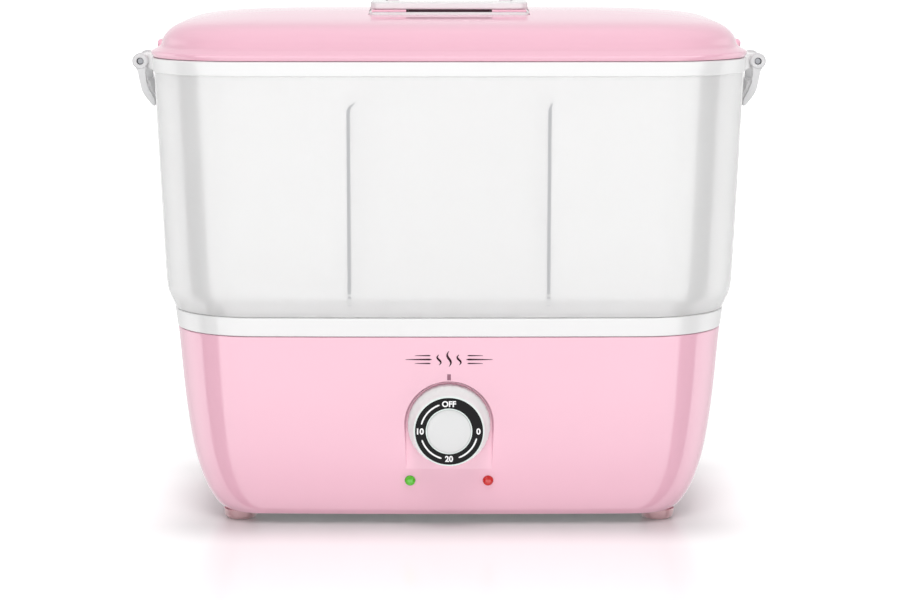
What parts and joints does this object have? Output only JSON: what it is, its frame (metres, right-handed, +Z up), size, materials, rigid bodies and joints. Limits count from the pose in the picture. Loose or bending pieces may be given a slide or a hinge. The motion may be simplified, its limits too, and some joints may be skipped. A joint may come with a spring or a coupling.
{
  "type": "towel steamer",
  "caption": "Countertop hot towel steamer: bowl-shaped pink base with timer knob, clear divided tank, domed lid with fold-down handle, and swing latches.",
  "frame": {"origin": "on the table plane under the feet, below the middle of the housing", "axes": "+X to the right as seen from the control side, +Y from the controls to the back, +Z up"},
  "size_m": [0.3398, 0.1946, 0.2753],
  "materials": {
    "pink_plastic": "glossy moulded",
    "white_plastic": "glossy moulded",
    "clear_tank": "frosted translucent",
    "divider_plastic": "translucent",
    "pan_plastic": "satin",
    "aluminium": "turned",
    "steel": "plated",
    "element_steel": "heat tinted",
    "silicone": "soft white",
    "foot_rubber": "translucent pink",
    "black_rubber": "matt",
    "knob_plastic": "satin",
    "dial_black": "printed",
    "cap_grey": "satin",
    "lens_green": "translucent lens",
    "lens_red": "translucent lens",
    "board": "laminate",
    "ink": "print",
    "brass": "stamped",
    "block_plastic": "moulded",
    "wire_sleeve": "insulation"
  },
  "bodies": {
    "base": {"base_shell": "pink_plastic", "base_collar": "white_plastic", "water_reservoir": "pan_plastic", "heating_plate": "aluminium", "heater_seal": "silicone", "clamp_ring": "steel", "clamp_screws": "steel", "heating_element": "element_steel", "thermostat": "steel", "thermal_fuse": "block_plastic", "bottom_plate": "white_plastic", "bottom_screws": "steel", "feet": "foot_rubber", "timer_bracket": "steel", "timer_screws": "steel", "timer_housing": "steel", "timer_bell": "steel", "lamp_green": "lens_green", "lamp_red": "lens_red", "lamp_board": "board", "index_mark": "ink", "badge": "ink", "cord_gland": "black_rubber", "terminal_block": "block_plastic", "inner_wiring": "wire_sleeve"},
    "knob": {"timer_shaft": "steel", "timer_wheel": "brass", "timer_knob": "knob_plastic", "dial_ring": "dial_black", "knob_cap": "cap_grey"},
    "tank": {"tank": "clear_tank", "tank_rim": "white_plastic", "latch_pins": "steel"},
    "latch_left": {"latch_left": "white_plastic"},
    "latch_right": {"latch_right": "white_plastic"},
    "divider_left": {"divider_left": "divider_plastic"},
    "divider_right": {"divider_right": "divider_plastic"},
    "lid": {"lid": "pink_plastic", "lid_gasket": "silicone", "handle_bezel": "white_plastic", "handle_pins": "steel"},
    "handle": {"handle": "white_plastic"}
  },
  "joints": [
    {"name": "timer_turn", "type": "hinge", "parent": "base", "child": "knob", "pos_m": [0, -0.0968, 0.057], "axis": [0, 1, 0], "range_deg": [0, 270]},
    {"name": "tank_lift", "type": "slide", "parent": "base", "child": "tank", "axis": [0, 0, 1], "range_m": [0, 0.14]},
    {"name": "lid_lift", "type": "slide", "parent": "tank", "child": "lid", "axis": [0, 0, 1], "range_m": [0, 0.11]},
    {"name": "handle_fold", "type": "hinge", "parent": "lid", "child": "handle", "pos_m": [0, 0.014, 0.2734], "axis": [-1, 0, 0], "range_deg": [0, 90]},
    {"name": "latch_left_swing", "type": "hinge", "parent": "tank", "child": "latch_left", "pos_m": [-0.1656, 0, 0.2428], "axis": [0, 1, 0], "range_deg": [-6, 225]},
    {"name": "latch_right_swing", "type": "hinge", "parent": "tank", "child": "latch_right", "pos_m": [0.1656, 0, 0.2428], "axis": [0, -1, 0], "range_deg": [-6, 225]},
    {"name": "divider_left_lift", "type": "slide", "parent": "tank", "child": "divider_left", "axis": [0, 0, 1], "range_m": [0, 0.017]},
    {"name": "divider_right_lift", "type": "slide", "parent": "tank", "child": "divider_right", "axis": [0, 0, 1], "range_m": [0, 0.017]}
  ]
}
